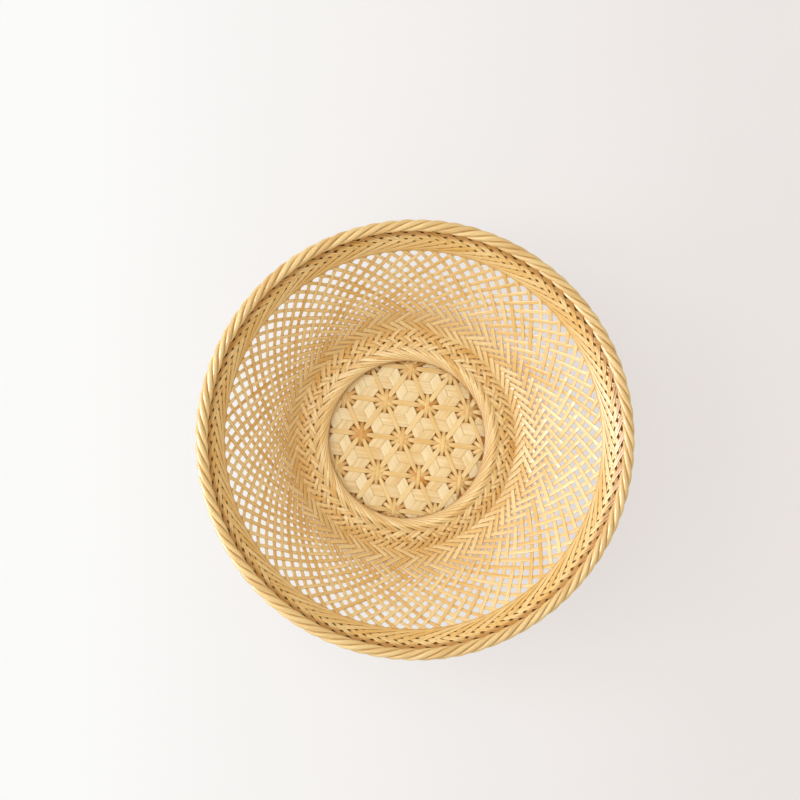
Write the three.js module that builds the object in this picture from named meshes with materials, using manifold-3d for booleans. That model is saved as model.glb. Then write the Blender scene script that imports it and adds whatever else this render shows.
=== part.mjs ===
// Bamboo bread basket: a shallow round bowl woven from split bamboo, with a star-patterned base panel.
// Millimetres, +Z up. The origin is the centre of the foot ring, on the surface that the basket stands on.
//
// Every wall split starts as one of a stacked pair that runs straight across the floor, touching the round
// mouth in its middle. Past the floor's edge the two splits part, fold at the foot and climb the wall, one
// half of the pair leaning right and the other leaning left. The right-leaning splits start inside the
// left-leaning ones and change places with them part way up. Under the rope rim they turn to a low angle
// and close up into the rim band. The base panel is a separate hexagonal weave, seated under the mouth.
import * as THREE from "three";
import { mergeVertices } from "three/addons/utils/BufferGeometryUtils.js";
import Module from "manifold-3d";

// Overall sizes
const RIM_DIAMETER = 260; // over the rope
const HEIGHT = 78; // to the top of the rope
const FOOT_DIAMETER = 138; // middle of the flat fold that the basket stands on
const FOOT_WIDTH = 2.4; // of that fold, from inside to outside
const MOUTH_DIAMETER = 98; // the round opening in the floor, over the base panel
const FLOOR_HEIGHT = 7.4; // middle of the floor weave above the table

// Wall splits
const PAIR_COUNT = 40;
const SPLIT_WIDTH = 2.4;
const SPLIT_THICKNESS = 0.4;
const WEAVE_GAP = 0.15; // between splits that lie on each other
const WALL_CROSSING_COUNT = 21; // that a split makes from the foot to the rim band
const WALL_STEP_GROWTH = 2.1; // the last crossing's share of the radius over the first one's
const WALL_BELLY = 0.16; // how far the wall hangs below a straight line, as a share of its height
const WALL_START_SHARE = 0.4; // of the first crossing, where a split leaves the fold for the wall's slope
const CHANGE_SHARE = 0.4; // of the way between two crossings, in which the two leans change places
const CHORD_ALLOWANCE = 0.4; // room for the straight stretches of two crossing splits

// Rim
const ROPE_DIAMETER = 7.8;
const ROPE_LAYS = 80;
const ROPE_STRANDS = 4;
const ROPE_LAY_DEPTH = 0.8;
const ROPE_STEPS = 120; // around the rim
const BAND_WIDTH = 16.5; // of the close-woven band, along its slope
const BAND_SLOPE = THREE.MathUtils.degToRad(51);
const BAND_CROSSING_COUNT = 6;
const SEAT_GAP = 0.3; // between pieces that rest on each other

// Base panel
const PANEL_TUCK = 3; // of the panel's edge under the splits round the mouth
const STAR_PITCH = 25.9; // from star to star
const WIDE_STRIP_WIDTH = 7;
const WIDE_STRIP_THICKNESS = 0.6;
const STAR_SPLIT_WIDTH = 3;
const STAR_SPLIT_THICKNESS = 0.5;
const RAY_INSET = 4; // of the ends of the splits under the wide strips from the panel's edge
const CROSSING_SHARE = 0.47; // of the crossings' spacing, the most that half of one crossing takes
const PANEL_TURN = THREE.MathUtils.degToRad(-6.9);
const PANEL_SHIFT = new THREE.Vector2(-2.9, 0.3); // of the middle star from the basket's axis

// Values that follow from those
const PAIR_ANGLE = (2 * Math.PI) / PAIR_COUNT;
const CROSSING_ANGLE = PAIR_ANGLE / 4; // that a split moves round from one crossing to the next
const MOUTH_TANGENT = MOUTH_DIAMETER / 2 + SPLIT_WIDTH / 2; // from the axis to a pair's middle line
const FOOT_RADIUS = FOOT_DIAMETER / 2;
const PANEL_RADIUS = MOUTH_DIAMETER / 2 + PANEL_TUCK;
const WALL_LIFT = (SPLIT_THICKNESS + WEAVE_GAP + CHORD_ALLOWANCE) / 2; // of a split off the weave's middle
const FOOT_LIFT = SPLIT_THICKNESS + WEAVE_GAP + CHORD_ALLOWANCE; // of the two layers at the fold
const FOOT_HEIGHT = FOOT_LIFT + SPLIT_THICKNESS;

const BAMBOO = { wall: 0xdcb66c, rope: 0xd9b566, wide: 0xe3c88a, over: 0xcf9f4e, under: 0xb9813a };

const wasm = await Module();
wasm.setup();

function namedMesh(name, geometry, color) {
  const material = new THREE.MeshStandardMaterial({ color, roughness: 0.55, metalness: 0 });
  const mesh = new THREE.Mesh(geometry, material);
  mesh.name = name;
  return mesh;
}

// A point at a radius, an angle and a height about the basket's axis.
function polar(radius, angle, height) {
  return new THREE.Vector3(radius * Math.cos(angle), radius * Math.sin(angle), height);
}

// A geometry from four-cornered faces, each a list of corners that runs anticlockwise seen from outside.
function geometryOfQuads(quads) {
  const corners = quads.flatMap(([a, b, c, d]) => [a, b, c, a, c, d]);
  return mergeVertices(new THREE.BufferGeometry().setFromPoints(corners));
}

// The four corners of a ribbon's section at each station. A station has a middle point, a normal, the lift
// of the ribbon along that normal, a width and a thickness, and may fix the direction along the ribbon.
function ribbonSections(stations) {
  const runs = stations.slice(1).map((s, k) => s.point.clone().sub(stations[k].point).normalize());
  return stations.map((s, k) => {
    const before = runs[Math.max(k - 1, 0)];
    const after = runs[Math.min(k, runs.length - 1)];
    const along = s.along ?? before.clone().add(after).normalize();
    const across = s.normal.clone().cross(along).normalize().multiplyScalar(s.width / 2);
    const top = s.point.clone().addScaledVector(s.normal, s.lift + s.thickness / 2);
    const bottom = s.point.clone().addScaledVector(s.normal, s.lift - s.thickness / 2);
    return [
      top.clone().add(across),
      top.clone().sub(across),
      bottom.clone().sub(across),
      bottom.clone().add(across),
    ];
  });
}

// The faces of a ribbon: its top, right, bottom and left sides along the sections, and its two ends.
// hidden(k, side) leaves out a face where two ribbons lie on each other and are one solid.
const TOP_SIDE = 0;
const BOTTOM_SIDE = 2;
function ribbonQuads(sections, hidden = () => false) {
  const quads = [];
  for (let k = 0; k + 1 < sections.length; k++) {
    for (let side = 0; side < 4; side++) {
      if (hidden(k, side)) continue;
      const next = (side + 1) % 4;
      quads.push([sections[k][side], sections[k][next], sections[k + 1][next], sections[k + 1][side]]);
    }
  }
  const [a, b, c, d] = sections[0];
  const [e, f, g, h] = sections[sections.length - 1];
  quads.push([d, c, b, a], [e, f, g, h]);
  return quads;
}

// Rim: the rope's middle line, and the band's upper end where it seats under the rope.
function rimProfile() {
  const ropeRadius = ROPE_DIAMETER / 2;
  const rope = new THREE.Vector2(RIM_DIAMETER / 2 - ropeRadius, HEIGHT - ropeRadius);
  const slope = new THREE.Vector2(Math.cos(BAND_SLOPE), Math.sin(BAND_SLOPE));
  const bandTop = rope.clone().addScaledVector(slope, -(ropeRadius + SEAT_GAP));
  const bandEdge = bandTop.clone().addScaledVector(slope, -BAND_WIDTH);
  return { rope, slope, bandTop, bandEdge };
}
const RIM = rimProfile();

// Wall: the radius grows by a little more at each crossing, and the height follows a shallow belly.
function wallProfile(crossing) {
  const run = RIM.bandEdge.x - FOOT_RADIUS;
  const rise = RIM.bandEdge.y - FOOT_HEIGHT;
  const firstStep = (2 * run) / (WALL_CROSSING_COUNT * (1 + WALL_STEP_GROWTH));
  const stepGain = (firstStep * (WALL_STEP_GROWTH - 1)) / WALL_CROSSING_COUNT;
  const radius = FOOT_RADIUS + firstStep * crossing + (stepGain * crossing ** 2) / 2;
  const share = (radius - FOOT_RADIUS) / run;
  const height = FOOT_HEIGHT + rise * (share - WALL_BELLY * share * (1 - share));
  const steepness = (rise / run) * (1 - WALL_BELLY * (1 - 2 * share));
  const normal = new THREE.Vector2(-steepness, 1).normalize(); // towards the inside of the bowl
  return { radius, height, normal };
}

// Floor: the pairs lap round the mouth like the blades of an iris. Each rises over the next one for as far
// as the two overlap, and then comes back towards the floor's middle.
const LAP_REACH = MOUTH_TANGENT * Math.tan(PAIR_ANGLE / 2) + SPLIT_WIDTH / Math.sin(PAIR_ANGLE);
const LAP_RISE = (2 * SPLIT_THICKNESS + WEAVE_GAP) / (MOUTH_TANGENT * PAIR_ANGLE);
const LAP_LIFT = LAP_RISE * LAP_REACH;
const LAP_RADIUS = Math.hypot(MOUTH_TANGENT, LAP_REACH);

// The angle from where a straight pair touches the mouth to where it reaches a radius.
function floorAngle(radius) {
  return Math.acos(MOUTH_TANGENT / radius);
}

// The stations of one half of a split, from the mouth outwards. lean is 1 for the half that leans right
// and -1 for the half that leans left. layer is 1 for the upper split of the pair and -1 for the lower one.
function halfSplit(touch, lean, layer) {
  const stations = [];
  const up = new THREE.Vector2(0, 1);
  const stack = (SPLIT_THICKNESS / 2) * layer;
  const add = (radius, angle, height, normal, lift, along) => {
    const turned = touch + lean * angle;
    const point = polar(radius, turned, height);
    const facing = polar(normal.x, turned, normal.y);
    stations.push({ point, normal: facing, lift, along, width: SPLIT_WIDTH, thickness: SPLIT_THICKNESS });
  };
  const straight = polar(1, touch + Math.PI / 2, 0);
  add(LAP_RADIUS, floorAngle(LAP_RADIUS), FLOOR_HEIGHT, up, lean * LAP_LIFT + stack, straight);

  // Past the lap the two splits of a pair part by a quarter of the pairs' spacing each way. The lowest
  // splits fold flat at the foot, and the basket stands on them.
  const parting = layer * CROSSING_ANGLE;
  const lowest = lean < 0 && layer < 0;
  const folds = lowest ? [FOOT_RADIUS - FOOT_WIDTH / 2, FOOT_RADIUS + FOOT_WIDTH / 2] : [FOOT_RADIUS];
  for (const radius of folds) {
    add(radius, floorAngle(radius) + parting, FOOT_HEIGHT, up, lean * FOOT_LIFT + stack);
  }

  // Up the wall the two leans change places once, in the free stretch between two crossings.
  const footAngle = floorAngle(FOOT_RADIUS);
  const firstCrossing = THREE.MathUtils.euclideanModulo(-footAngle / CROSSING_ANGLE, 1);
  const change = Math.round(WALL_CROSSING_COUNT / 3) + firstCrossing - 0.5;
  const climb = [
    [WALL_START_SHARE, 1],
    [change - CHANGE_SHARE / 2, 1],
    [change + CHANGE_SHARE / 2, -1],
    [(change + WALL_CROSSING_COUNT) / 2, -1],
    [WALL_CROSSING_COUNT, -1],
  ];
  for (const [crossing, side] of climb) {
    const wall = wallProfile(crossing);
    const angle = footAngle + parting + crossing * CROSSING_ANGLE;
    add(wall.radius, angle, wall.height, wall.normal, lean * side * WALL_LIFT);
  }
  const topAngle = footAngle + parting + (WALL_CROSSING_COUNT + BAND_CROSSING_COUNT) * CROSSING_ANGLE;
  const bandNormal = new THREE.Vector2(-RIM.slope.y, RIM.slope.x);
  add(RIM.bandTop.x, topAngle, RIM.bandTop.y, bandNormal, -lean * WALL_LIFT);
  return stations;
}

// One pair of splits, from its left-leaning ends through the floor to its right-leaning ends. The two are
// one solid where they are stacked on the floor.
function splitPair(number) {
  const touch = number * PAIR_ANGLE;
  const quads = [1, -1].flatMap((layer) => {
    const left = halfSplit(touch, -1, layer).reverse();
    const right = halfSplit(touch, 1, layer);
    const shared = layer === 1 ? BOTTOM_SIDE : TOP_SIDE;
    const hidden = (k, side) => side === shared && k === left.length - 1;
    return ribbonQuads(ribbonSections([...left, ...right]), hidden);
  });
  const label = String(number + 1).padStart(2, "0");
  return namedMesh(`split_pair_${label}`, geometryOfQuads(quads), BAMBOO.wall);
}

// Rope rim: a lobed section that turns as it goes round, so that its lobes are the rope's lays.
function ropeRim() {
  const points = 2 * ROPE_STRANDS;
  const sections = [];
  for (let step = 0; step < ROPE_STEPS; step++) {
    const round = (step / ROPE_STEPS) * 2 * Math.PI;
    const turn = (round * ROPE_LAYS) / ROPE_STRANDS;
    const section = [];
    for (let k = 0; k < points; k++) {
      const around = turn + (k / points) * 2 * Math.PI;
      const size = ROPE_DIAMETER / 2 - (k % 2) * ROPE_LAY_DEPTH;
      section.push(polar(RIM.rope.x + size * Math.cos(around), round, RIM.rope.y + size * Math.sin(around)));
    }
    sections.push(section);
  }
  const quads = [];
  for (let step = 0; step < ROPE_STEPS; step++) {
    const here = sections[step];
    const there = sections[(step + 1) % ROPE_STEPS];
    for (let k = 0; k < points; k++) {
      const next = (k + 1) % points;
      quads.push([here[k], there[k], there[next], here[next]]);
    }
  }
  return namedMesh("rope_rim", geometryOfQuads(quads), BAMBOO.rope);
}

// Base panel heights: it seats under the lowest splits of the floor, in three layers.
const PANEL_TOP = FLOOR_HEIGHT - LAP_LIFT - SPLIT_THICKNESS - SEAT_GAP;
const WIDE_LIFT = (WIDE_STRIP_THICKNESS + WEAVE_GAP) / 2;
const WIDE_HALF = WIDE_LIFT + WIDE_STRIP_THICKNESS / 2;
const OVER_BOTTOM = PANEL_TOP - STAR_SPLIT_THICKNESS;
const WIDE_MIDDLE = OVER_BOTTOM - WEAVE_GAP - WIDE_HALF;
const UNDER_BOTTOM = WIDE_MIDDLE - WIDE_HALF - WEAVE_GAP - STAR_SPLIT_THICKNESS;
const ROW_PITCH = (STAR_PITCH * Math.sqrt(3)) / 2; // from one row of stars to the next

// One wide strip of the hexagonal weave. Its rows run half way between the stars. It passes over the strips
// of the next direction and under those of the last one, so that it dips and rises by turns.
function wideStrip(name, direction, row) {
  const angle = direction + PANEL_TURN;
  const along = new THREE.Vector2(Math.cos(angle), Math.sin(angle));
  const square = new THREE.Vector2(-along.y, along.x);
  const offset = (row + 0.5) * ROW_PITCH;
  const outer = Math.abs(offset + PANEL_SHIFT.dot(square)) + WIDE_STRIP_WIDTH / 2;
  const reach = Math.sqrt(PANEL_RADIUS ** 2 - outer ** 2);
  const middle = -PANEL_SHIFT.dot(along); // of its length, from the middle star
  const spacing = STAR_PITCH / 2; // of the crossings
  const crossingHalf = WIDE_STRIP_WIDTH * Math.cos(Math.PI / 6);
  const flat = Math.min(crossingHalf, spacing * CROSSING_SHARE);
  const path = [];
  const first = Math.floor((middle - reach) / spacing) - 1;
  const last = Math.ceil((middle + reach) / spacing) + 1;
  for (let k = first; k <= last; k++) {
    const side = Math.abs(k + row) % 2 === 1 ? 1 : -1;
    const crossing = (k + 0.5) * spacing;
    path.push([crossing - flat, side * WIDE_LIFT], [crossing + flat, side * WIDE_LIFT]);
  }
  const liftAt = (v) => {
    const k = path.findIndex(([end]) => end >= v);
    const [[v0, z0], [v1, z1]] = [path[k - 1], path[k]];
    return THREE.MathUtils.mapLinear(v, v0, v1, z0, z1);
  };
  const start = middle - reach;
  const end = middle + reach;
  const inside = path.filter(([v]) => v > start + 0.1 && v < end - 0.1);
  const stations = [[start, liftAt(start)], ...inside, [end, liftAt(end)]].map(([v, lift]) => {
    const place = PANEL_SHIFT.clone().addScaledVector(along, v).addScaledVector(square, offset);
    const point = new THREE.Vector3(place.x, place.y, WIDE_MIDDLE);
    const normal = new THREE.Vector3(0, 0, 1);
    return { point, normal, lift, width: WIDE_STRIP_WIDTH, thickness: WIDE_STRIP_THICKNESS };
  });
  return namedMesh(name, geometryOfQuads(ribbonQuads(ribbonSections(stations))), BAMBOO.wide);
}

// A flat net of splits in three directions, joined where they cross. In each direction the rows lie to both
// sides of the middle star, and every split ends square where its corners reach the circle.
function splitNet(name, rowPitch, turn, bottom, radius, color) {
  const rows = Math.floor((radius - STAR_SPLIT_WIDTH) / rowPitch);
  const splits = [];
  for (const direction of [0, Math.PI / 3, (2 * Math.PI) / 3]) {
    const along = new THREE.Vector2(Math.cos(direction + turn), Math.sin(direction + turn));
    const square = new THREE.Vector2(-along.y, along.x);
    for (let row = -rows; row <= rows; row++) {
      const fromAxis = row * rowPitch + PANEL_SHIFT.dot(square);
      const outer = Math.abs(fromAxis) + STAR_SPLIT_WIDTH / 2;
      const reach = Math.sqrt(Math.max(radius ** 2 - outer ** 2, 0));
      if (reach < rowPitch) continue;
      const split = new THREE.BoxGeometry(2 * reach, STAR_SPLIT_WIDTH, STAR_SPLIT_THICKNESS);
      split.rotateZ(direction + turn);
      split.translate(square.x * fromAxis, square.y * fromAxis, bottom + STAR_SPLIT_THICKNESS / 2);
      splits.push(manifoldOf(split));
    }
  }
  return namedMesh(name, geometryOf(wasm.Manifold.union(splits).asOriginal().simplify(0.001)), color);
}

function manifoldOf(geometry) {
  const plain = geometry.clone();
  plain.deleteAttribute("normal");
  plain.deleteAttribute("uv");
  const welded = mergeVertices(plain, 1e-4);
  const mesh = new wasm.Mesh({
    numProp: 3,
    vertProperties: new Float32Array(welded.attributes.position.array),
    triVerts: new Uint32Array(welded.index.array),
  });
  return new wasm.Manifold(mesh);
}

function geometryOf(solid) {
  const mesh = solid.getMesh();
  const geometry = new THREE.BufferGeometry();
  geometry.setAttribute("position", new THREE.BufferAttribute(mesh.vertProperties, 3));
  geometry.setIndex(new THREE.BufferAttribute(mesh.triVerts, 1));
  return geometry;
}

const basket = new THREE.Group();
for (let number = 0; number < PAIR_COUNT; number++) basket.add(splitPair(number));
basket.add(ropeRim());
["a", "b", "c"].forEach((letter, k) => {
  [-2, -1, 0, 1].forEach((row, n) => {
    basket.add(wideStrip(`base_strip_${letter}${n + 1}`, (k * Math.PI) / 3, row));
  });
});
basket.add(splitNet("star_splits_over", ROW_PITCH, PANEL_TURN, OVER_BOTTOM, PANEL_RADIUS, BAMBOO.over));
const rayTurn = PANEL_TURN + Math.PI / 6;
const rayRadius = PANEL_RADIUS - RAY_INSET;
basket.add(splitNet("star_splits_under", STAR_PITCH / 2, rayTurn, UNDER_BOTTOM, rayRadius, BAMBOO.under));
export default basket;
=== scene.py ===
"""Bamboo bread basket: the visual model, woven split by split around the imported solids.

Metres, +Z up. The middle of the foot ring is the origin, and the basket stands on the floor at z = 0.
"""

import bpy
import numpy as np
from bpy.props import FloatProperty, FloatVectorProperty, IntProperty, PointerProperty
from bpy.types import Operator, Panel, PropertyGroup
from mathutils import Matrix, Vector


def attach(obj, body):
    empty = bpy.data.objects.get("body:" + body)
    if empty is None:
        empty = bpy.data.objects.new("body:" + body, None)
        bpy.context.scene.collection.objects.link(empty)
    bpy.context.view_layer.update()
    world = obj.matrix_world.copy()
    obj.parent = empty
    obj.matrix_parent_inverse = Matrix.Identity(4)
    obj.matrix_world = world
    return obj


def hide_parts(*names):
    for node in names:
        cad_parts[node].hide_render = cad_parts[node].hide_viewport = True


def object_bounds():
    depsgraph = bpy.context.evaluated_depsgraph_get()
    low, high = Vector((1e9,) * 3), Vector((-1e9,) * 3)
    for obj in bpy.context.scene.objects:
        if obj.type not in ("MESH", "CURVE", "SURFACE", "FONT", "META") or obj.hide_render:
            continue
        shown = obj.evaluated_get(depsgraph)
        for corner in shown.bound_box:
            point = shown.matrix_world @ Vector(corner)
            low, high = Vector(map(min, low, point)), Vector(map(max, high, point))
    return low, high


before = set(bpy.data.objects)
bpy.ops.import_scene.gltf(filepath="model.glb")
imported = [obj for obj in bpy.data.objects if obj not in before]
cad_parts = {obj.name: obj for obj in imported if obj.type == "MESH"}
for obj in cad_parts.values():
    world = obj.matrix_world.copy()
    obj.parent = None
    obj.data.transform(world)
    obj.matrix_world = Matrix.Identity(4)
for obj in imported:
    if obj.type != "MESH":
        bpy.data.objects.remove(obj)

bl_info = {
    "name": "Bamboo Bread Basket",
    "version": (1, 0, 0),
    "blender": (4, 5, 0),
    "location": "View3D > Sidebar > Basket",
    "description": "Weaves a round bread basket from split bamboo",
    "category": "Add Mesh",
}

CAD_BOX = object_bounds()
LOW, HIGH = (np.array(corner) for corner in CAD_BOX)
PAIR_NODES = sorted(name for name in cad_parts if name.startswith("split_pair_"))
MM = 0.001


def metres(name, description, default):
    """A size property."""
    return FloatProperty(name=name, description=description, default=default, unit="LENGTH")


def watts(name, description, default):
    """A lamp's power property."""
    return FloatProperty(name=name, description=description, default=default, unit="POWER")


def ratio(name, description, default):
    """A property without a unit: a count, a share or a strength."""
    return FloatProperty(name=name, description=description, default=default)


def flat_place(name, description, default):
    """A property for a place in a level plane, in metres."""
    return FloatVectorProperty(
        name=name, description=description, default=default, size=2, subtype="TRANSLATION"
    )


def colour(name, description, default):
    """A colour property in linear red, green and blue."""
    return FloatVectorProperty(
        name=name, description=description, default=default, size=3, subtype="COLOR", min=0.0, max=1.0
    )


class BASKET_PG_wall(PropertyGroup):
    """Sizes of the floor, wall and rim."""

    rim_diameter: metres("Rim diameter", "Over the rope", float(HIGH[0] - LOW[0]))
    height: metres("Height", "To the top of the rope", float(HIGH[2] - LOW[2]))
    foot_diameter: metres("Foot", "Of the fold that the basket stands on", 0.138)
    foot_height: metres("Foot height", "Of the weave's middle at a sharp fold", 0.00036)
    mouth_diameter: metres("Mouth", "The round opening over the base panel", 0.098)
    floor_height: metres("Floor height", "Of the floor weave's middle", 0.0074)
    split_thickness: metres("Split thickness", "Of one wall split", 0.00042)
    floor_width: metres("Split width on the floor", "Round the mouth", 0.0024)
    foot_width: metres("Split width at the foot", "Where the weave is closest", 0.00305)
    rim_width: metres("Split width at the rim", "Where the weave is most open", 0.0025)
    crossings: ratio("Wall crossings", "That a split makes from the foot to the band", 19.0)
    hidden_crossings: ratio("Hidden crossings", "That it makes behind the band", 6.2)
    step_growth: ratio("Step growth", "The last crossing's part of the radius over the first's", 2.43)
    belly: ratio("Belly", "Share of its height that the wall hangs below a straight line", 0.16)
    band_width: metres("Band width", "Of the close-plaited band, along its slope", 0.01728)
    rope_diameter: metres("Rope diameter", "Of the roped edge", 0.0072)
    rope_turns: IntProperty(name="Rope turns", description="Full turns of the rope's strands", default=20)


class BASKET_PG_panel(PropertyGroup):
    """Sizes of the star-patterned base panel."""

    radius: metres("Radius", "Of the panel", 0.052)
    star_pitch: metres("Star pitch", "From star to star", 0.0259)
    wide_width: metres("Wide strip", "Width", 0.0073)
    wide_thickness: metres("Wide thickness", "Thickness", 0.00046)
    narrow_width: metres("Narrow split", "Width", 0.0031)
    narrow_thickness: metres("Narrow thickness", "Thickness", 0.00028)
    turn: FloatProperty(
        name="Turn",
        description="Of the panel in the basket",
        default=float(np.radians(-6.9)),
        subtype="ANGLE",
    )
    shift: flat_place("Shift", "Of the middle star", (-0.0029, 0.0003))


class BASKET_PG_colours(PropertyGroup):
    """Colours of the bamboo and of the stage."""

    straw: colour("Straw", "Pale wall splits", (0.98, 0.76, 0.40))
    honey: colour("Honey", "Deep wall splits", (0.79, 0.47, 0.135))
    rope_pale: colour("Rope pale", "Pale parts of the rope", (0.87, 0.63, 0.285))
    rope_deep: colour("Rope deep", "Deep parts of the rope", (0.57, 0.295, 0.068))
    cream: colour("Cream", "Pale parts of the wide strips", (0.95, 0.79, 0.48))
    biscuit: colour("Biscuit", "Deep parts of the wide strips", (0.78, 0.50, 0.18))
    gold: colour("Gold", "Pale parts of the star splits", (0.92, 0.69, 0.33))
    amber: colour("Amber", "Deep parts of the star splits", (0.76, 0.45, 0.13))
    tan: colour("Tan", "Pale parts of the star rays", (0.95, 0.68, 0.28))
    brown: colour("Brown", "Deep parts of the star rays", (0.66, 0.29, 0.05))
    # Colour of the cut edges, and also of painted shade: behind the band, at the band ends' tips and
    # roots, in the rope's hollows, and in the laps and the fold
    edge: colour("Edge", "Cut edges", (0.42, 0.17, 0.025))
    floor: colour("Floor", "The floor", (0.80, 0.805, 0.80))
    near_light: colour("Near light", "Glow of the floor on the window's side", (0.97, 0.965, 0.95))
    far_light: colour("Far light", "Glow of the floor on the far side", (0.86, 0.795, 0.775))
    # Painted bounce light on the floor under the wall
    bounce: colour("Bounce", "The floor under the wall", (0.86, 0.74, 0.64))
    # Painted shade on the floor under the base panel, seen through its gaps
    shade: colour("Shade", "The floor under the base panel", (0.95, 0.45, 0.09))
    room: colour("Room", "Light of the room", (0.965, 0.945, 0.885))


class BASKET_PG_stage(PropertyGroup):
    """Camera and light."""

    camera_aside: metres("Camera aside", "Of the basket's axis, to the left", 0.1038)
    camera_height: metres("Camera height", "Above the rim", 1.1)
    view_width: metres("View width", "At the rim", 0.4712)
    aim: flat_place("Aim", "Point beside the rim's middle", (-0.0102, 0.0232))
    key_power: watts("Window light", "Power of the large lamp", 12.4)
    fill_power: watts("Soft box", "Power of the lamp above, on the window's side", 14.0)
    glint_power: watts("Glint", "Power of the lamp that only gloss shows", 60.0)
    sky: ratio("Room light", "Strength of the world", 0.69)


class Value:
    """A node's output that takes part in Python arithmetic. Each step of an expression adds a Math
    node."""

    def __init__(self, graph, socket):
        self.graph = graph
        self.socket = socket

    def math(self, operation, *terms):
        return self.graph.node("ShaderNodeMath", {"operation": operation}, dict(enumerate(terms)))

    def __add__(self, other):
        return self.math("ADD", self, other)

    def __radd__(self, other):
        return self.math("ADD", other, self)

    def __sub__(self, other):
        return self.math("SUBTRACT", self, other)

    def __rsub__(self, other):
        return self.math("SUBTRACT", other, self)

    def __mul__(self, other):
        return self.math("MULTIPLY", self, other)

    def __rmul__(self, other):
        return self.math("MULTIPLY", other, self)

    def clamped(self):
        """The value, held between 0 and 1."""
        return self.graph.node("ShaderNodeClamp", {}, {"Value": self})


class Graph:
    """A material's nodes."""

    def __init__(self, name):
        self.material = bpy.data.materials.new(name)
        self.material.use_nodes = True
        self.tree = self.material.node_tree
        self.tree.nodes.clear()

    def node(self, kind, settings, sockets, output=0):
        """Makes a node, sets its settings and then its sockets' values or links, and gives one output."""
        made = self.tree.nodes.new(kind)
        for key, value in settings.items():
            setattr(made, key, value)
        for key, value in sockets.items():
            if isinstance(value, Value):
                self.tree.links.new(value.socket, made.inputs[key])
            else:
                made.inputs[key].default_value = value
        return None if output is None else Value(self, made.outputs[output])

    def mix(self, factor, first, second):
        """A mix of two colours. The node's colour sockets are its inputs 6 and 7 and its output 2."""
        sockets = {0: factor, 6: first, 7: second}
        return self.node("ShaderNodeMix", {"data_type": "RGBA"}, sockets, output=2)

    def noise(self, x, y, z, detail, roughness=0.5):
        """Noise from 0 to 1 at a point that is given by three values."""
        place = self.node("ShaderNodeCombineXYZ", {}, {"X": x, "Y": y, "Z": z})
        sockets = {"Vector": place, "Scale": 1.0, "Detail": detail, "Roughness": roughness}
        return self.node("ShaderNodeTexNoise", {"noise_dimensions": "3D"}, sockets)

    def attribute(self, name):
        """A number that the mesh carries."""
        return self.node("ShaderNodeAttribute", {"attribute_name": name}, {}, output="Fac")

    def finish(self, shader):
        """Ends the graph in a shader, and gives the material."""
        self.node("ShaderNodeOutputMaterial", {}, {"Surface": shader}, output=None)
        return self.material


def rgba(value):
    """A colour property with its alpha."""
    return (*value, 1.0)


def bamboo(name, pale, deep, edge, scale=3000.0, contrast=1.0, mottle=26.0, rim=0.88):
    """Split bamboo. Streaks and finer fibres run along the split, on its own map in metres, and broad
    blotches shift its tone. A split's own tone moves it between the pale and the deep colour. Its cut
    edges, and the stretches that its mesh marks with painted shade, take the darker edge colour. scale
    is the number of streaks in a metre across, mottle that of blotches in a metre along, and rim where
    the cut edges and the painted shade start."""
    streaks_along, fibres_along, blotches_across = 14.0, 70.0, 120.0
    fibre_scale = 3.0 * scale
    tone_weight, streak_weight, blotch_weight = 0.85, 1.5 * contrast, 1.2
    edge_strength, edge_gain = 0.8, 1.0 / (1.0 - rim)
    dullness, dullness_range = 0.36, 0.2
    g = Graph(name)
    grain = g.node("ShaderNodeUVMap", {"uv_map": "grain"}, {})
    across = g.node("ShaderNodeSeparateXYZ", {}, {"Vector": grain}, output="X")
    along = g.node("ShaderNodeSeparateXYZ", {}, {"Vector": grain}, output="Y")
    tone = g.attribute("tone")
    side = g.attribute("side")
    seed = tone * 53.0
    streaks = g.noise(across * scale, along * streaks_along, seed, 3.0, 0.6)
    fibres = g.noise(across * fibre_scale, along * fibres_along, seed + 7.0, 2.0)
    blotches = g.noise(across * blotches_across, along * mottle, seed + 3.0, 2.0)
    grained = tone * tone_weight + (streaks - 0.5) * streak_weight
    share = (grained + (blotches - 0.5) * blotch_weight + 0.08).clamped()
    body = g.mix(share, rgba(pale), rgba(deep))
    fine = g.mix((fibres - 0.4).clamped() * contrast, body, rgba(deep))
    # Cut edges and painted shade both take the edge colour, through the side attribute
    cut = ((side - rim) * edge_gain).clamped() * edge_strength
    tinted = g.mix(cut, fine, rgba(edge))
    height = streaks * 0.6 + fibres * 0.4
    bump = g.node("ShaderNodeBump", {}, {"Strength": 0.35, "Distance": 0.00012, "Height": height})
    rough = dullness + (streaks - 0.5) * dullness_range
    sockets = {"Base Color": tinted, "Roughness": rough, "Normal": bump, "Specular IOR Level": 0.5}
    return g.finish(g.node("ShaderNodeBsdfPrincipled", {}, sockets))


def smooth_step(x, start, end):
    """0 before start, 1 after end, and 3t^2 - 2t^3 between them."""
    t = np.clip((x - start) / (end - start), 0.0, 1.0)
    return t * t * (3.0 - 2.0 * t)


def polar(radius, angle, height):
    """Points at radii, angles and heights about the basket's axis."""
    radius, angle, height = np.broadcast_arrays(radius, angle, height)
    return np.stack([radius * np.cos(angle), radius * np.sin(angle), height], axis=-1)


def unit(vectors):
    """Vectors of length 1."""
    return vectors / np.linalg.norm(vectors, axis=-1, keepdims=True)


# Sections of a split: places across it, from -1 to 1, and heights in half thicknesses.
CROWNED = np.array([
    [1.0, 0.95, 0.7, 0.0, -0.7, -0.95, -1.0, -0.94, 0.94],
    [0.0, 0.7, 1.0, 1.12, 1.0, 0.7, 0.0, -1.0, -1.0],
])
FLAT = np.array([
    [1.0, 0.97, 0.9, 0.3, -0.3, -0.9, -0.97, -1.0, -0.96, 0.96],
    [0.1, 0.85, 1.0, 1.0, 1.0, 1.0, 0.85, 0.1, -1.0, -1.0],
])


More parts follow.
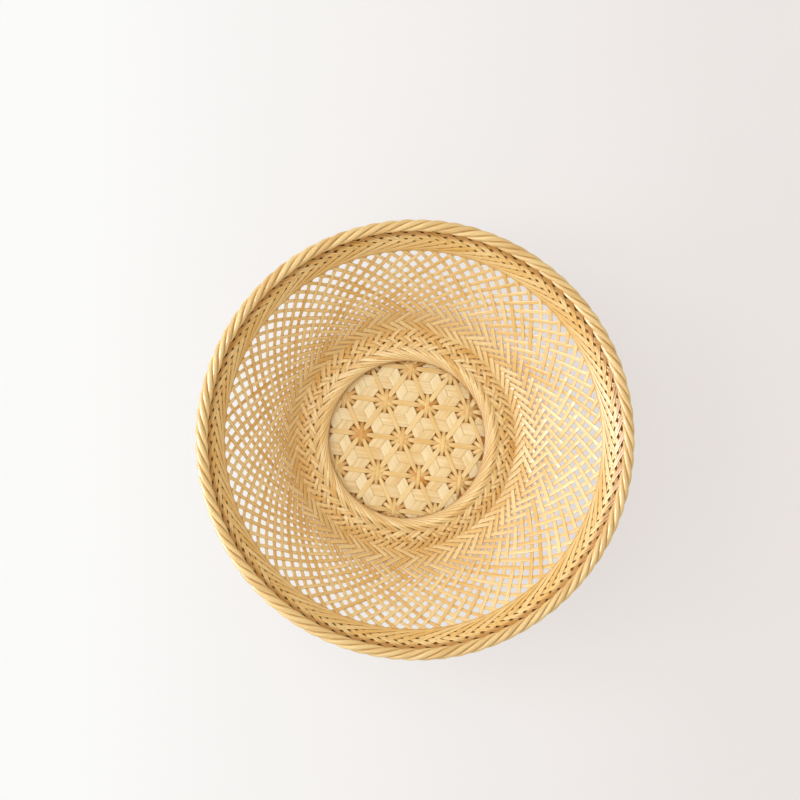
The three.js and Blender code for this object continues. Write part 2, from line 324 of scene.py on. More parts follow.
class Weaver:
    """Collects surfaces into one mesh, with a map in metres along and across each split."""

    def __init__(self):
        self.points, self.loops, self.counts, self.maps, self.tones, self.sides = [], [], [], [], [], []
        self.size = 0

    def add(self, points, across, along, side, tone, closed):
        """Adds a grid of points, rows along and columns around. across, along, side and tone are given
        at the grid's corners, with one more column, and one more row where the rows close as well."""
        shape = points.shape[:2]
        rows, columns = shape
        i = np.arange(rows if closed else rows - 1)[:, None]
        j = np.arange(columns)[None, :]
        i, j = np.broadcast_arrays(i, j)
        corner_i = np.stack([i, i, i + 1, i + 1], axis=-1).reshape(-1, 4)
        corner_j = np.stack([j, j + 1, j + 1, j], axis=-1).reshape(-1, 4)
        self.faces(corner_i, corner_j, shape, across, along, side, tone)
        if not closed:
            ring = np.arange(columns)[None, :]
            start, end = np.zeros_like(ring), np.full_like(ring, rows - 1)
            self.faces(start, ring[:, ::-1], shape, across, along, side, tone)
            self.faces(end, ring, shape, across, along, side, tone)
        self.points.append(points.reshape(-1, 3))
        self.size += rows * columns

    def faces(self, i, j, shape, across, along, side, tone):
        """Adds faces whose corners are at rows i and columns j."""
        rows, columns = shape
        self.loops.append((self.size + (i % rows) * columns + j % columns).ravel())
        self.counts.append(np.full(len(i), i.shape[1]))
        self.maps.append(np.stack([across[i, j], along[i, j]], axis=-1).reshape(-1, 2))
        self.sides.append(side[i, j].ravel())
        self.tones.append(tone[i, j].ravel())

    def ribbon(self, centre, normal, half, thickness, tone, section=CROWNED, sag=None, painted_shade=0.0, cut=1.0):
        """Adds a split: the section carried along a path, with its upper face towards the normal. half
        is its half width, thickness its thickness and tone its tone along the path. sag gives a height
        for each point of a section. The painted shade, from 0 to 1, shades stretches of the face towards
        the colour of its cut edges, and cut makes those edges narrower or wider."""
        section_side, section_up = section
        along = np.gradient(centre, axis=0)
        across = unit(np.cross(normal, along))
        up = unit(np.cross(along, across))
        half = np.broadcast_to(half, len(centre))
        thickness = np.broadcast_to(thickness, len(centre))
        reach = half[:, None] * section_side
        lift = thickness[:, None] / 2 * section_up
        if sag is not None:
            lift = lift + sag
        points = centre[:, None] + across[:, None] * reach[..., None] + up[:, None] * lift[..., None]
        steps = np.linalg.norm(np.diff(centre, axis=0), axis=-1)
        length = np.concatenate([[0.0], np.cumsum(steps)])
        wrap = np.append(np.arange(len(section_side)), 0)
        reach = reach[:, wrap]
        flat = np.ones_like(reach)
        tone = np.broadcast_to(tone, len(centre))[:, None]
        # The side attribute holds the cut edges and, where it is larger, the painted shade
        edges = np.abs(section_side[wrap]) * np.broadcast_to(cut, len(centre))[:, None]
        side = np.maximum(edges, np.broadcast_to(painted_shade, len(centre))[:, None])
        self.add(points, reach, flat * length[:, None], side, flat * tone, False)

    def make(self, name, material, slot, *nodes):
        """Makes the piece, and ties it to the frame."""
        mesh = bpy.data.meshes.new(name)
        points = np.concatenate(self.points)
        loops = np.concatenate(self.loops)
        counts = np.concatenate(self.counts)
        mesh.vertices.add(len(points))
        mesh.vertices.foreach_set("co", points.astype(np.float32).ravel())
        mesh.loops.add(len(loops))
        mesh.loops.foreach_set("vertex_index", loops.astype(np.int32))
        mesh.polygons.add(len(counts))
        starts = np.concatenate([[0], np.cumsum(counts)[:-1]])
        mesh.polygons.foreach_set("loop_start", starts.astype(np.int32))
        mesh.polygons.foreach_set("use_smooth", np.ones(len(counts), dtype=bool))
        mesh.update(calc_edges=True)
        grain = mesh.uv_layers.new(name="grain")
        grain.data.foreach_set("uv", np.concatenate(self.maps).astype(np.float32).ravel())
        for label, values in (("tone", self.tones), ("side", self.sides)):
            layer = mesh.attributes.new(label, "FLOAT", "CORNER")
            layer.data.foreach_set("value", np.concatenate(values).astype(np.float32))
        mesh.validate()
        mesh.materials.append(material)
        piece = bpy.data.objects.new(name, mesh)
        bpy.context.scene.collection.objects.link(piece)
        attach(piece, "root")
        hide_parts(*nodes)


# Finer sizes of the weave.
BAND_SLOPE = np.radians(51.0)  # of the band against the floor
ROPE_GAP = 0.0003  # between the band and the rope
END_DROP = 0.0014  # of the splits' ends below the rope's middle
LAP_CLIMB = 0.00095  # of a split over its neighbour, round the mouth
FLOOR_DOME = 2.2  # the power of the way to the foot by which the floor falls
FOLD_ROUNDING = 0.35  # width of the bell curve that rounds the folds, in levels
FOLD_SAMPLES = 120  # of that curve, to either side
LEVEL_SAMPLES = 4801  # of the whole profile
LEVEL_MARGIN = 2.0  # of the profile past both ends of a split

# A right-leaning split's turns on the upper side, or on the lower side where the height is negative:
# the levels where each starts and ends, and its height off the middle surface in millimetres.
FLOOR_TURNS = [(13.5, 15.5, -0.5), (15.8, 16.85, 0.5), (17.15, 19.3, -0.32)]
WALL_TURNS = [(19.5 + 3 * n, 22.5 + 3 * n, 0.27 * (-1) ** n) for n in range(9)]
TURN_EASE = 0.24  # levels that a turn gives up at each end, for the change of sides
WOVEN_LEVEL = 14.35  # where the laps round the mouth have become the floor's weave


class Bowl:
    """The middle surface of the weave. Its parameter is the level: the angle that a split has turned
    about the axis since it touched the mouth, counted in crossings."""

    def __init__(self, wall):
        pair_turn = 2 * np.pi / len(PAIR_NODES)
        self.crossing = pair_turn / 4
        self.tangent = wall.mouth_diameter / 2 + wall.floor_width / 2
        self.foot = wall.foot_diameter / 2
        self.foot_level = np.arccos(self.tangent / self.foot) / self.crossing
        self.wall_top = self.foot_level + wall.crossings
        self.top = self.wall_top + wall.hidden_crossings
        rope = wall.rope_diameter / 2
        self.rope = np.array([wall.rim_diameter / 2 - rope, wall.height - rope])
        self.slope = np.array([np.cos(BAND_SLOPE), np.sin(BAND_SLOPE)])
        self.band_edge = self.rope - self.slope * (rope + ROPE_GAP + wall.band_width)
        lap_reach = self.tangent * np.tan(pair_turn / 2) + wall.floor_width / np.sin(pair_turn)
        self.lap_rise = LAP_CLIMB / (self.tangent * pair_turn)
        self.lap_level = np.arctan(lap_reach / self.tangent) / self.crossing
        self.lap_radius = np.hypot(self.tangent, lap_reach)
        self.levels = np.linspace(-LEVEL_MARGIN, self.top + LEVEL_MARGIN, LEVEL_SAMPLES)
        self.radius, self.height = (self.rounded(values) for values in self.sharp(wall))

    def sharp(self, wall):
        """Radius and height at every level, before the folds are rounded. On the floor the split is
        straight, so the radius is the mouth's over the cosine of the angle, and the floor falls to the
        foot like a dome. On the wall each crossing takes a little more of the radius than the last, and
        the height follows a shallow belly. Behind the band the wall runs straight on into the rope."""
        level = self.levels
        floor = self.tangent / np.cos(np.minimum(level, self.foot_level) * self.crossing)
        share = np.clip((floor - self.lap_radius) / (self.foot - self.lap_radius), 0.0, 1.0)
        floor_z = wall.floor_height - (wall.floor_height - wall.foot_height) * share ** FLOOR_DOME
        run, rise = self.band_edge[0] - self.foot, self.band_edge[1] - wall.foot_height
        step = 2 * run / (wall.crossings * (1 + wall.step_growth))
        gain = step * (wall.step_growth - 1) / wall.crossings
        climb = np.clip(level - self.foot_level, 0.0, wall.crossings)
        wall_r = self.foot + step * climb + gain * climb ** 2 / 2
        x = (wall_r - self.foot) / run
        wall_z = wall.foot_height + rise * (x - wall.belly * x * (1 - x))
        beyond = np.clip(level - self.wall_top, 0.0, None) / (self.top - self.wall_top)
        end = self.rope - np.array([0.0, END_DROP])
        on_wall = level > self.foot_level
        radius = np.where(on_wall, wall_r + beyond * (end[0] - self.band_edge[0]), floor)
        height = np.where(on_wall, wall_z + beyond * (end[1] - self.band_edge[1]), floor_z)
        return radius, height

    def rounded(self, values):
        """Rounds the folds. Each value becomes the mean of its neighbours, weighted by a bell curve."""
        step = self.levels[1] - self.levels[0]
        away = np.arange(-FOLD_SAMPLES, FOLD_SAMPLES + 1) * step / FOLD_ROUNDING
        bell = np.exp(-away ** 2 / 2)
        return np.convolve(values, bell / bell.sum(), mode="same")

    def at(self, level):
        """Radius, height and inward normal at levels."""
        slope_r = np.gradient(self.radius, self.levels)
        slope_z = np.gradient(self.height, self.levels)
        profile = (self.radius, self.height, slope_r, slope_z)
        radius, height, dr, dz = (np.interp(level, self.levels, values) for values in profile)
        size = np.hypot(dr, dz)
        return radius, height, -dz / size, dr / size

    def over(self, level):
        """Height of a right-leaning split off the middle surface. Round the mouth it climbs over its
        neighbours. Further out the right-leaning and the left-leaning splits take the upper side by
        turns: on the floor in close pairs, and on the wall singly, each for three crossings."""
        lap = self.lap_rise * self.tangent * np.tan(np.minimum(level, self.lap_level) * self.crossing)
        turns = FLOOR_TURNS + WALL_TURNS
        ends = [(start + TURN_EASE, end - TURN_EASE, lift * MM) for start, end, lift in turns]
        knots = np.array([knot for start, end, lift in ends for knot in ((start, lift), (end, lift))])
        woven = np.interp(level, knots[:, 0], knots[:, 1])
        blend = smooth_step(level, self.lap_level, WOVEN_LEVEL)
        return lap * (1 - blend) + woven * blend


def split_levels(bowl):
    """Stations of a split, from the end of its left-leaning half to the end of its right-leaning half.
    They are closest in the weave that is seen."""
    weave_start, weave_end = 9.0, bowl.wall_top + 1.0
    half = np.concatenate([
        np.arange(0.0, weave_start, 0.75),
        np.arange(weave_start, weave_end, 0.25),
        np.arange(weave_end, bowl.top + 0.01, 0.5),
    ])
    return np.concatenate([-half[:0:-1], half])


# Levels between which a wall split changes.
DRIFTS = (8.0, 16.0)  # its own small drift sets in
SWAPS = (6.0, 12.0)  # the left-leaning halves of a pair change places
CLOSES = (7.0, 12.0)  # the two splits of a pair come together
PARTS = (15.0, 18.5)  # and part again
LAPS_END = (8.0, 12.0)  # the laps round the mouth come to an end
FOOT_STARTS = (16.5, 20.0)  # the fold at the foot begins
FOOT_ENDS = (24.0, 32.0)  # and its crowded weave opens out


def wall_split(weaver, bowl, wall, touch, layer, tone, rng):
    """One split. It touches the mouth at an angle and turns away from it both ways, level by level,
    with a small drift of its own. The two splits of a pair touch the mouth a crossing to either side,
    run close together on the floor, and part again before the foot. Their left-leaning halves change
    places under the weave. Behind the band a split is wide, and painted with the shade of the gap
    behind the band. Its cut edges are widened in the laps and at the foot, as painted shade between
    the stacked splits and in the fold."""
    signed = split_levels(bowl)
    level = np.abs(signed)
    lean = np.sign(signed)
    slow, quick = rng.uniform(0, 2 * np.pi, 2)
    drift = 0.05 * np.sin(signed * 0.31 + slow) + 0.03 * np.sin(signed * 0.83 + quick)
    drift = drift * smooth_step(level, *DRIFTS)
    together = smooth_step(level, *CLOSES) * (1 - smooth_step(level, *PARTS))
    swapped = np.where(lean < 0, smooth_step(level, *SWAPS), 0.0)
    aside = layer * (1 - 0.3 * together) * (1 - 2 * swapped)
    angle = touch + (lean * level + aside + drift) * bowl.crossing
    radius, height, normal_r, normal_z = bowl.at(level)
    normal = polar(normal_r, angle, normal_z)
    stack = -layer * wall.split_thickness * 2 * swapped * (1 - swapped)
    lift = lean * bowl.over(level) + stack
    centre = polar(radius, angle, height) + normal * lift[:, None]
    top = bowl.wall_top
    widths = np.array([
        (0.0, wall.floor_width),
        (8.0, wall.floor_width * 0.95),
        (12.0, wall.floor_width * 0.84),
        (15.5, wall.floor_width * 0.87),
        (19.0, wall.foot_width),
        (26.0, wall.foot_width * 0.94),
        (33.0, wall.rim_width * 1.06),
        (top + 0.8, wall.rim_width),
        (top + 1.8, wall.rim_width * 2.0),
    ])
    half = np.interp(level, widths[:, 0], widths[:, 1]) / 2 * rng.uniform(0.95, 1.05)
    lapped = 1 - smooth_step(level, *LAPS_END)
    at_foot = smooth_step(level, *FOOT_STARTS) * (1 - smooth_step(level, *FOOT_ENDS))
    # Wider cut edges in the laps and at the foot: painted shade between stacked splits and in the fold
    cut = 1.0 + 0.17 * lapped + 0.06 * at_foot
    # Painted shade on the hidden stretch behind the band, which shows through the band's holes
    painted_shade = smooth_step(level, top + 1.2, top + 2.0)
    weaver.ribbon(centre, normal, half, wall.split_thickness, tone, painted_shade=painted_shade, cut=cut)


# Turned-down ends of the splits, in the band.
END_LEAVES = np.radians(34.0)  # the angle at which an end leaves the rope
END_TUCK = 0.003  # how far past the band's upper edge it starts, under the rope
END_INSET = 0.0018  # how far it stops above the band's lower edge
END_PROUD = 0.0016  # how far it stands off the wall
END_SWAP = (0.0088, 0.0108)  # heights over its tip between which it changes sides with the other lean
END_LIFT = 0.28  # how far it lies to one side, in millimetres
END_SINK = 0.13  # how steeply its tip sinks in, so that the ends shingle
END_TIP = 0.006  # length of the tip
END_STATIONS = 44
END_FACE = 0.86  # the painted shade of its face, where cut edges start at 0.88 and 1 is their full shade
END_TIP_SHADE = (0.008, 0.074)  # shares of its height over the tip, between which the tip's shade fades
END_ROOT_SHADE = (0.614, 0.8)  # and between which the shade under the rope sets in
END_EDGES = (0.125, 0.238)  # and between which its cut edges grow narrower
END_SLIP = 0.37  # crossings short of its split's top at which it leaves the rope
END_BESIDE = 0.6  # crossings to the second end beside it
END_WIDTHS = np.array([  # along its way from the tip, in shares of a split's width at the rim
    (0.0, 0.24), (0.12, 0.46), (0.3, 0.5), (0.5, 0.54), (0.7, 0.58), (0.85, 0.65), (1.0, 0.73),
])


def band_split(weaver, bowl, wall, start, lean, inner, tone, rng):
    """One turned-down end in the plaited band, on the inner or the outer side of the wall. It leaves
    the rope at an angle and swings along the rim while it comes down, by the square of the way that is
    left, so that it ends along the band's lower border. It changes sides with the ends of the other lean
    on the way. Its tip sinks in. The whole end takes a deeper tone than its split, as painted shade on
    the band, and painted shade lies on the tip and on the root under the rope."""
    reach = wall.band_width + END_TUCK - END_INSET
    length = 2 * reach / np.tan(END_LEAVES)
    way = np.linspace(1.0, 0.0, END_STATIONS)
    share = way ** 2
    above = reach * share
    place = bowl.band_edge + (above[:, None] + END_INSET) * bowl.slope
    angle = start + lean * (1 - way) * length / bowl.rope[0] + rng.uniform(-0.004, 0.004)
    upper = lean * np.interp(above, END_SWAP, (END_LIFT, -END_LIFT)) * MM
    shingle = END_SINK * np.minimum(above - END_TIP, 0.0)
    normal = inner * polar(-bowl.slope[1], angle, bowl.slope[0])
    centre = polar(place[:, 0], angle, place[:, 1]) + normal * (upper + shingle + END_PROUD)[:, None]
    half = wall.rim_width / 2 * np.interp(way, END_WIDTHS[:, 0], END_WIDTHS[:, 1])
    half = half * rng.uniform(0.95, 1.05)
    # Painted shade: a thin shade at the tip, along the band's lower edge, and a deeper one at the root
    # under the rope
    tip = END_FACE + 0.1 * (1 - smooth_step(share, *END_TIP_SHADE))
    root = END_FACE + 0.14 * smooth_step(share, *END_ROOT_SHADE)
    painted_shade = np.maximum(tip, root)
    cut = 1.0 - 0.1 * smooth_step(share, *END_EDGES)
    # The end keeps its split's own tone, moved deeper as painted shade on the band
    tone_and_painted_shade = 0.6 * tone + 0.46
    weaver.ribbon(centre, normal, half, wall.split_thickness, tone_and_painted_shade, FLAT, painted_shade=painted_shade, cut=cut)


class BASKET_OT_wall(Operator):
    """Weaves the forty pairs of splits that make the floor, the wall and the rim band"""

    bl_idname = "basket.wall"
    bl_label = "Weave wall"

    def execute(self, context):
        wall = context.scene.basket_wall
        tint = context.scene.basket_colours
        rng = np.random.default_rng(11)
        second = np.random.default_rng(12)
        bowl = Bowl(wall)
        material = bamboo("bamboo wall split", tint.straw, tint.honey, tint.edge)
        for number, node in enumerate(PAIR_NODES):
            weaver = Weaver()
            touch = number * 4 * bowl.crossing
            for layer in (1, -1):
                tone = rng.uniform(-0.05, 0.85)
                wall_split(weaver, bowl, wall, touch, layer, tone, rng)
                for lean in (1, -1):
                    start = touch + lean * (bowl.top + layer - END_SLIP) * bowl.crossing
                    beside = start + END_BESIDE * bowl.crossing
                    for inner in (1, -1):
                        band_split(weaver, bowl, wall, start, lean, inner, tone, rng)
                        band_split(weaver, bowl, wall, beside, lean, inner, tone, second)
            weaver.make(f"woven_pair_{number + 1:02d}", material, "wall_split", node)
        return {"FINISHED"}


def rope_surface(weaver, bowl, wall, rng):
    """The rope's surface: rows go round the rim and columns round the rope, and the columns turn with
    the strands. Its radius is the rope's, less a round hollow between strands and a shallow groove
    between the two splits of a strand. It swells a little round the rim, and each split ripples."""
    splits, points, rows_in_turn = 8, 6, 40
    hollow_depth, groove_depth, split_width = 0.002, 0.00003, 0.0024
    columns = splits * points
    rows = wall.rope_turns * rows_in_turn
    turn = np.arange(rows)[:, None] / rows * 2 * np.pi
    column = np.arange(columns)[None, :]
    strand = np.abs((column % (2 * points)) / points - 1.0)
    split = np.abs((column % points) / points * 2 - 1.0)
    hollow = hollow_depth * (1 - np.sqrt(1 - (0.99 * strand) ** 2)) + groove_depth * split ** 8
    swell = 0.00012 * np.sin(turn * 7 + rng.uniform(0, 6))
    ripple = 0.0001 * np.sin(turn * 23 + column // points * 2.1)
    size = wall.rope_diameter / 2 - hollow + (swell + ripple)
    around = -column / columns * 2 * np.pi + wall.rope_turns * turn
    surface = polar(bowl.rope[0] + size * np.cos(around), turn, bowl.rope[1] + size * np.sin(around))
    grid_row = np.arange(rows + 1)[:, None]
    grid_column = np.arange(columns + 1)[None, :]
    flat = np.ones((rows + 1, columns + 1))
    within = (grid_column % points) / points * 2 - 1.0
    place = flat * within * split_width / 2
    length = flat * grid_row / rows * 2 * np.pi * bowl.rope[0]
    tones = np.repeat(rng.uniform(-0.1, 0.5, splits // 2), 2) + rng.uniform(-0.06, 0.06, splits)
    tone = flat * tones[(grid_column // points) % splits]
    # Strands meet in the hollows, where the edge colour is partly the splits' cut edges and partly
    # painted shade in the hollows
    lay = (grid_column % (2 * points)) / points - 1.0
    side = flat * np.abs(lay)
    weaver.add(surface, place, length, side, tone, True)


class BASKET_OT_rope(Operator):
    """Lays the roped edge: four strands of two splits each, twisted round the rim"""

    bl_idname = "basket.rope"
    bl_label = "Lay rope"

    def execute(self, context):
        wall = context.scene.basket_wall
        tint = context.scene.basket_colours
        rng = np.random.default_rng(5)
        weaver = Weaver()
        rope_surface(weaver, Bowl(wall), wall, rng)
        material = bamboo("bamboo rope split", tint.rope_pale, tint.rope_deep, tint.edge, rim=0.74)
        weaver.make("roped_edge", material, "rim_rope", "rope_rim")
        return {"FINISHED"}


def window(x, half, fade):
    """1 within half of 0, and 0 beyond a fade on either side."""
    return 1 - smooth_step(np.abs(x), half - fade / 2, half + fade / 2)


def nearest(run, first, pitch):
    """Distance from the nearest of many places, a pitch apart, of which the first is one."""
    return (run - first + pitch / 2) % pitch - pitch / 2


class Base:
    """Places and heights of the base panel: wide strips in three directions, narrow splits over them
    along the rows of stars, and rays under them, square to the strips."""

    TOP, MIDDLE, UNDER = 0.00372, 0.00305, 0.0021

    def __init__(self, panel):
        self.panel = panel
        self.row = panel.star_pitch * np.sqrt(3) / 2
        self.shift = np.array(panel.shift)

    def line(self, turn, offset, width, radius, step):
        """A straight line across the panel: its direction, its square, and stations along it, about a
        step apart and counted from the middle star."""
        along = np.array([np.cos(turn), np.sin(turn)])
        square = np.array([-along[1], along[0]])
        outer = abs(offset + self.shift @ square) + width / 2
        reach = np.sqrt(max(radius ** 2 - outer ** 2, 0.0))
        middle = -self.shift @ along
        start, end = middle - reach, middle + reach
        return along, square, np.linspace(start, end, int((end - start) / step))

    def path(self, along, square, offset, run, height):
        """Points of a straight split at heights along its run, and the upward normals there."""
        flat = self.shift + run[:, None] * along + offset * square
        centre = np.column_stack([flat, np.broadcast_to(height, len(run))])
        return centre, np.tile([0.0, 0.0, 1.0], (len(run), 1))


def wide_strip(weaver, base, direction, row, tone):
    """One wide strip. It passes over the strips of the next direction and under those of the last one.
    Each crossing lifts or lowers a window of it, skewed by the angle between the two strips."""
    panel = base.panel
    lift, margin, fade, step = 0.00026, 0.0007, 0.002, 0.0007
    turn = direction * np.pi / 3 + panel.turn
    offset = (row + 0.5) * base.row
    along, square, run = base.line(turn, offset, panel.wide_width, panel.radius, step)
    spacing = panel.star_pitch / 2
    across = panel.wide_width / 2 * FLAT[0]
    sag = np.zeros((len(run), len(across)))
    half = panel.wide_width / 2 / np.sin(np.pi / 3) + margin
    first, last = int(run[0] / spacing) - 2, int(run[-1] / spacing) + 2
    for k in range(first, last + 1):
        sign = 1 if (k + row) % 2 == 1 else -1
        skew = sign * across / np.tan(np.pi / 3)
        place = run[:, None] - (k + 0.5) * spacing - skew[None, :]
        sag += sign * lift * window(place, half, fade)
    centre, normal = base.path(along, square, offset, run, base.MIDDLE)
    weaver.ribbon(centre, normal, panel.wide_width / 2, panel.wide_thickness, tone, FLAT, sag)


class BASKET_OT_base(Operator):
    """Weaves the twelve wide strips of the base panel"""

    bl_idname = "basket.base"
    bl_label = "Weave base strips"

    def execute(self, context):
        tint = context.scene.basket_colours
        base = Base(context.scene.basket_panel)
        rng = np.random.default_rng(23)
        # Painted sheen: each direction of strip takes its own tone, as the light catches the grain of one
        # direction more
        direction_tones = (0.5, 0.4, -0.05)
        # Blotches about a crossing long: painted sheen that changes from crossing to crossing with the
        # strip's tilt
        look = {"scale": 1000.0, "contrast": 1.2, "mottle": 70.0, "rim": 0.975}
        material = bamboo("bamboo wide strip", tint.cream, tint.biscuit, tint.edge, **look)
        for direction, letter in enumerate("abc"):
            for number, row in enumerate((-2, -1, 0, 1)):
                weaver = Weaver()
                tone = rng.uniform(-0.15, 0.2) + direction_tones[direction]
                wide_strip(weaver, base, direction, row, tone)
                name = f"{letter}{number + 1}"
                weaver.make(f"wide_strip_{name}", material, "base_strip", f"base_strip_{name}")
        return {"FINISHED"}


NARROW_STEP = 0.0008  # between stations along a narrow split


def star_split(weaver, base, direction, row, tone):
    """One narrow split along a row of stars. It lies over the crossing of two wide strips half way
    between two stars. At each star it narrows and dips into the open hexagon, each direction to its own
    depth."""
    panel = base.panel
    widths, depths = (0.98, 1.05, 0.84), (0.0009, 0.00065, 0.0004)
    star_half, star_fade = 0.005, 0.005
    turn = direction * np.pi / 3 + panel.turn
    offset = row * base.row
    along, square, run = base.line(turn, offset, panel.narrow_width, panel.radius, NARROW_STEP)
    from_star = nearest(run, row * panel.star_pitch / 2, panel.star_pitch)
    near = window(from_star, star_half, star_fade)
    centre, normal = base.path(along, square, offset, run, base.TOP - depths[direction] * near)
    half = panel.narrow_width / 2 * widths[direction] * (1 - 0.3 * near)
    weaver.ribbon(centre, normal, half, panel.narrow_thickness, tone, FLAT)


def star_ray(weaver, base, direction, row, tone):
    """One narrow split square to the wide strips. It runs under them, and comes up over the star splits
    at each star that it meets, each direction to its own height."""
    panel = base.panel
    rises, inset, width = (0.0014, 0.0019, 0.0016), 0.001, 0.74
    star_half, star_fade = 0.0048, 0.0046
    turn = direction * np.pi / 3 + np.pi / 6 + panel.turn
    pitch = panel.star_pitch * np.sqrt(3)
    offset = row * panel.star_pitch / 2
    along, square, run = base.line(turn, offset, panel.narrow_width, panel.radius - inset, NARROW_STEP)
    from_star = nearest(run, row * pitch / 2, pitch)
    rise = rises[direction] * window(from_star, star_half, star_fade)
    centre, normal = base.path(along, square, offset, run, base.UNDER + rise)
    weaver.ribbon(centre, normal, panel.narrow_width / 2 * width, panel.narrow_thickness, tone, FLAT)


class BASKET_OT_stars(Operator):
    """Threads the golden splits through the rows of stars"""

    bl_idname = "basket.stars"
    bl_label = "Thread star splits"

    def execute(self, context):
        tint = context.scene.basket_colours
        base = Base(context.scene.basket_panel)
        rng = np.random.default_rng(31)
        direction_tones = (0.5, 0.0, 0.3)
        weaver = Weaver()
        for direction in range(3):
            for row in range(-2, 3):
                tone = rng.uniform(-0.15, 0.25) + direction_tones[direction]
                star_split(weaver, base, direction, row, tone)
        material = bamboo("bamboo star split", tint.gold, tint.amber, tint.edge, scale=1600.0, rim=0.95)
        weaver.make("star_splits", material, "star_split", "star_splits_over")
        return {"FINISHED"}


class BASKET_OT_rays(Operator):
    """Threads the brown rays of the stars under the wide strips"""

    bl_idname = "basket.rays"
    bl_label = "Thread star rays"

    def execute(self, context):
        tint = context.scene.basket_colours
        base = Base(context.scene.basket_panel)
        rng = np.random.default_rng(37)
        direction_tones = (0.1, 0.0, 0.1)
        brown_rays = ((0, 1), (1, 2), (2, 1))
        weaver = Weaver()
        for direction in range(3):
            for row in range(-3, 4):
                tone = 0.5 * rng.uniform(0.0, 1.0) ** 2 + direction_tones[direction]
                tone = tone + 0.8 * ((direction, row) in brown_rays)
                star_ray(weaver, base, direction, row, tone)
        material = bamboo("bamboo star ray", tint.tan, tint.brown, tint.edge, scale=1600.0, rim=0.95)
        weaver.make("star_rays", material, "star_ray", "star_splits_under")
        return {"FINISHED"}


def floor_material(tint):
    """Matt painted board, with a faint mottle. Clear of the foot, camera, gloss and transmission rays
    also see a painted glow of it, brighter on the window's side. Under the wall, and more so under the
    base panel, the board is painted as warm as the light that comes through bamboo: painted bounce
    light under the wall and painted shade under the panel."""
    under_wall, under_panel, clear_start = 0.115, 0.072, 0.068
    g = Graph("pale floor")
    place = g.node("ShaderNodeTexCoord", {}, {}, output="Object")
    mottle = g.node("ShaderNodeTexNoise", {}, {"Vector": place, "Scale": 9.0, "Detail": 3.0})
    paint = g.node("ShaderNodeTexNoise", {}, {"Vector": place, "Scale": 260.0, "Detail": 2.0})
    away = g.node("ShaderNodeVectorMath", {"operation": "LENGTH"}, {0: place}, output="Value")
    far = g.node("ShaderNodeSeparateXYZ", {}, {"Vector": place}, output="X")
    darker = tuple(0.94 * c for c in tint.floor)
    board = g.mix(mottle, rgba(tint.floor), rgba(darker))
    # Painted bounce light under the wall, and painted shade under the base panel
    painted_bounce = g.mix(((under_wall - away) * 30.0).clamped(), board, rgba(tint.bounce))
    body = g.mix(((under_panel - away) * 120.0).clamped(), painted_bounce, rgba(tint.shade))
    bump = g.node("ShaderNodeBump", {}, {"Strength": 0.1, "Distance": 0.0006, "Height": paint})
    sockets = {"Base Color": body, "Roughness": 0.7, "Normal": bump, "Specular IOR Level": 0.3}
    matt = g.node("ShaderNodeBsdfPrincipled", {}, sockets)
    # Painted light: the glow, brighter on the window's side and kept off near the foot
    light = g.mix((far * 2.5 + 0.5).clamped(), rgba(tint.near_light), rgba(tint.far_light))
    glow = g.node("ShaderNodeEmission", {}, {"Color": light, "Strength": 1.0})
    rays = ("Camera", "Glossy", "Transmission")
    seen = [g.node("ShaderNodeLightPath", {}, {}, output=f"Is {ray} Ray") for ray in rays]
    clear = ((away - clear_start - far * 0.06) * 45.0).clamped()
    share = (seen[0] + seen[1] + seen[2]).clamped() * clear * (0.74 - far * 0.55).clamped()
    return g.finish(g.node("ShaderNodeMixShader", {}, {0: share, 1: matt, 2: glow}))


def look_at(item, target):
    """Turns an object's -Z axis to a point, with the scene's +Y upwards in its picture."""
    back = (item.location - Vector(target)).normalized()
    right = Vector((0.0, 1.0, 0.0)).cross(back).normalized()
    item.rotation_euler = Matrix((right, back.cross(right), back)).transposed().to_euler()


def lay_floor(scene):
    """A plain square floor, wide enough for low views."""
    half = 12.0
    mesh = bpy.data.meshes.new("floor")
    corners = [(-half, -half, 0.0), (half, -half, 0.0), (half, half, 0.0), (-half, half, 0.0)]
    mesh.from_pydata(corners, [], [(0, 1, 2, 3)])
    mesh.materials.append(floor_material(scene.basket_colours))
    floor = bpy.data.objects.new("floor", mesh)
    scene.collection.objects.link(floor)


def light_room(scene):
    """An even room, and three lamps at the window's side."""
    stage = scene.basket_stage
    world = bpy.data.worlds.new("room")
    world.use_nodes = True
    background = world.node_tree.nodes["Background"]
    background.inputs["Color"].default_value = rgba(scene.basket_colours.room)
    background.inputs["Strength"].default_value = stage.sky
    scene.world = world
    # Each lamp's name, place, extent, power and colour, and whether it lights more than gloss.
    lamps = (
        ("window", (-1.5, 0.15, 0.8), (1.2, 0.8), stage.key_power, (0.89, 0.99, 1.13), True),
        ("soft box", (-0.8, 0.3, 1.8), (1.6, 1.6), stage.fill_power, (1.0, 0.98, 0.95), True),
        ("glint", (-1.5, -0.1, 0.62), (0.6, 0.4), stage.glint_power, (1.0, 1.0, 1.0), False),
    )
    for name, place, extent, power, tone, diffuse in lamps:
        lamp = bpy.data.lights.new(name, "AREA")
        lamp.shape = "RECTANGLE"
        lamp.size, lamp.size_y = extent
        lamp.energy = power
        lamp.color = tone
        light = bpy.data.objects.new(name, lamp)
        light.location = place
        light.visible_diffuse = diffuse
        scene.collection.objects.link(light)
        look_at(light, (0.0, 0.0, 0.05))


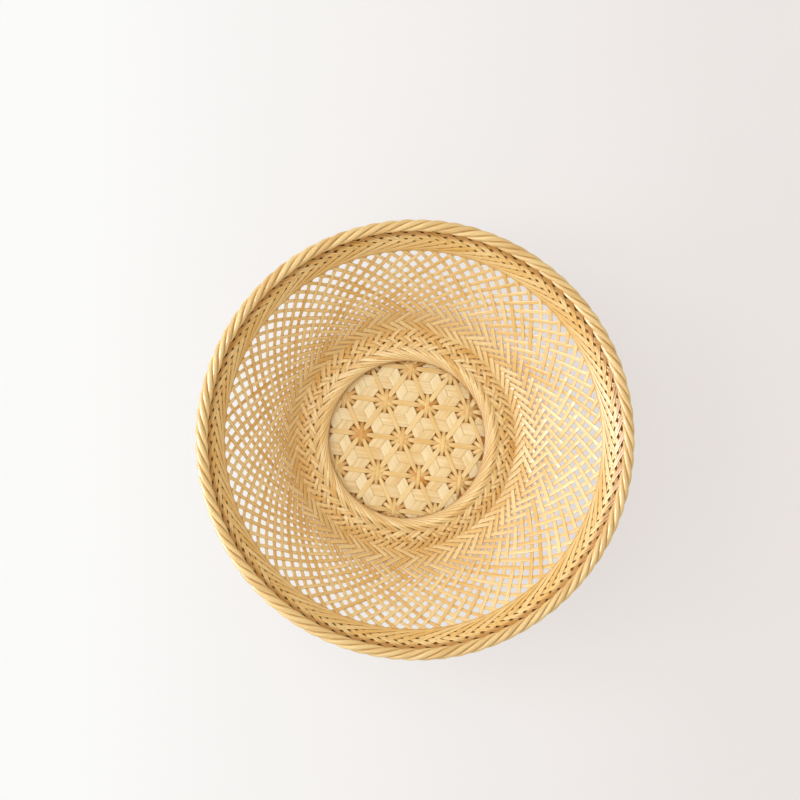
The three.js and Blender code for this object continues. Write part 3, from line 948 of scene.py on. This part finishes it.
def place_camera(scene):
    """The camera above the rim, a little to the left, with the view's width measured at the rim."""
    stage = scene.basket_stage
    rim = scene.basket_wall.height - scene.basket_wall.rope_diameter / 2
    lens = bpy.data.cameras.new("camera")
    camera = bpy.data.objects.new("camera", lens)
    camera.location = (-stage.camera_aside, 0.0, rim + stage.camera_height)
    scene.collection.objects.link(camera)
    lens.sensor_fit = "HORIZONTAL"
    lens.sensor_width = 36.0
    target = Vector((*stage.aim, rim))
    look_at(camera, target)
    lens.lens = lens.sensor_width * (camera.location - target).length / stage.view_width
    lens.clip_start, lens.clip_end = 0.01, 20.0
    scene.camera = camera


class BASKET_OT_stage(Operator):
    """Sets the floor, the light and the camera"""

    bl_idname = "basket.stage"
    bl_label = "Set stage"

    def execute(self, context):
        lay_floor(context.scene)
        light_room(context.scene)
        place_camera(context.scene)
        context.scene.view_settings.view_transform = "Standard"
        return {"FINISHED"}


OPERATORS = (
    BASKET_OT_wall,
    BASKET_OT_rope,
    BASKET_OT_base,
    BASKET_OT_stars,
    BASKET_OT_rays,
    BASKET_OT_stage,
)
GROUPS = {
    "basket_wall": BASKET_PG_wall,
    "basket_panel": BASKET_PG_panel,
    "basket_colours": BASKET_PG_colours,
    "basket_stage": BASKET_PG_stage,
}


class BASKET_PT_sidebar(Panel):
    """Lists the basket's pieces and sizes"""

    bl_idname = "BASKET_PT_sidebar"
    bl_label = "Bread Basket"
    bl_space_type = "VIEW_3D"
    bl_region_type = "UI"
    bl_category = "Basket"

    def draw(self, context):
        for operator in OPERATORS:
            self.layout.operator(operator.bl_idname)
        for name, group in GROUPS.items():
            box = self.layout.box()
            for key in group.__annotations__:
                box.prop(getattr(context.scene, name), key)


CLASSES = (*GROUPS.values(), *OPERATORS, BASKET_PT_sidebar)


def register():
    for item in CLASSES:
        bpy.utils.register_class(item)
    for name, group in GROUPS.items():
        setattr(bpy.types.Scene, name, PointerProperty(type=group))


def unregister():
    for name in GROUPS:
        delattr(bpy.types.Scene, name)
    for item in reversed(CLASSES):
        bpy.utils.unregister_class(item)


def main():
    register()
    bpy.ops.basket.wall()
    bpy.ops.basket.rope()
    bpy.ops.basket.base()
    bpy.ops.basket.stars()
    bpy.ops.basket.rays()
    bpy.ops.basket.stage()


if __name__ == "__main__":
    main()
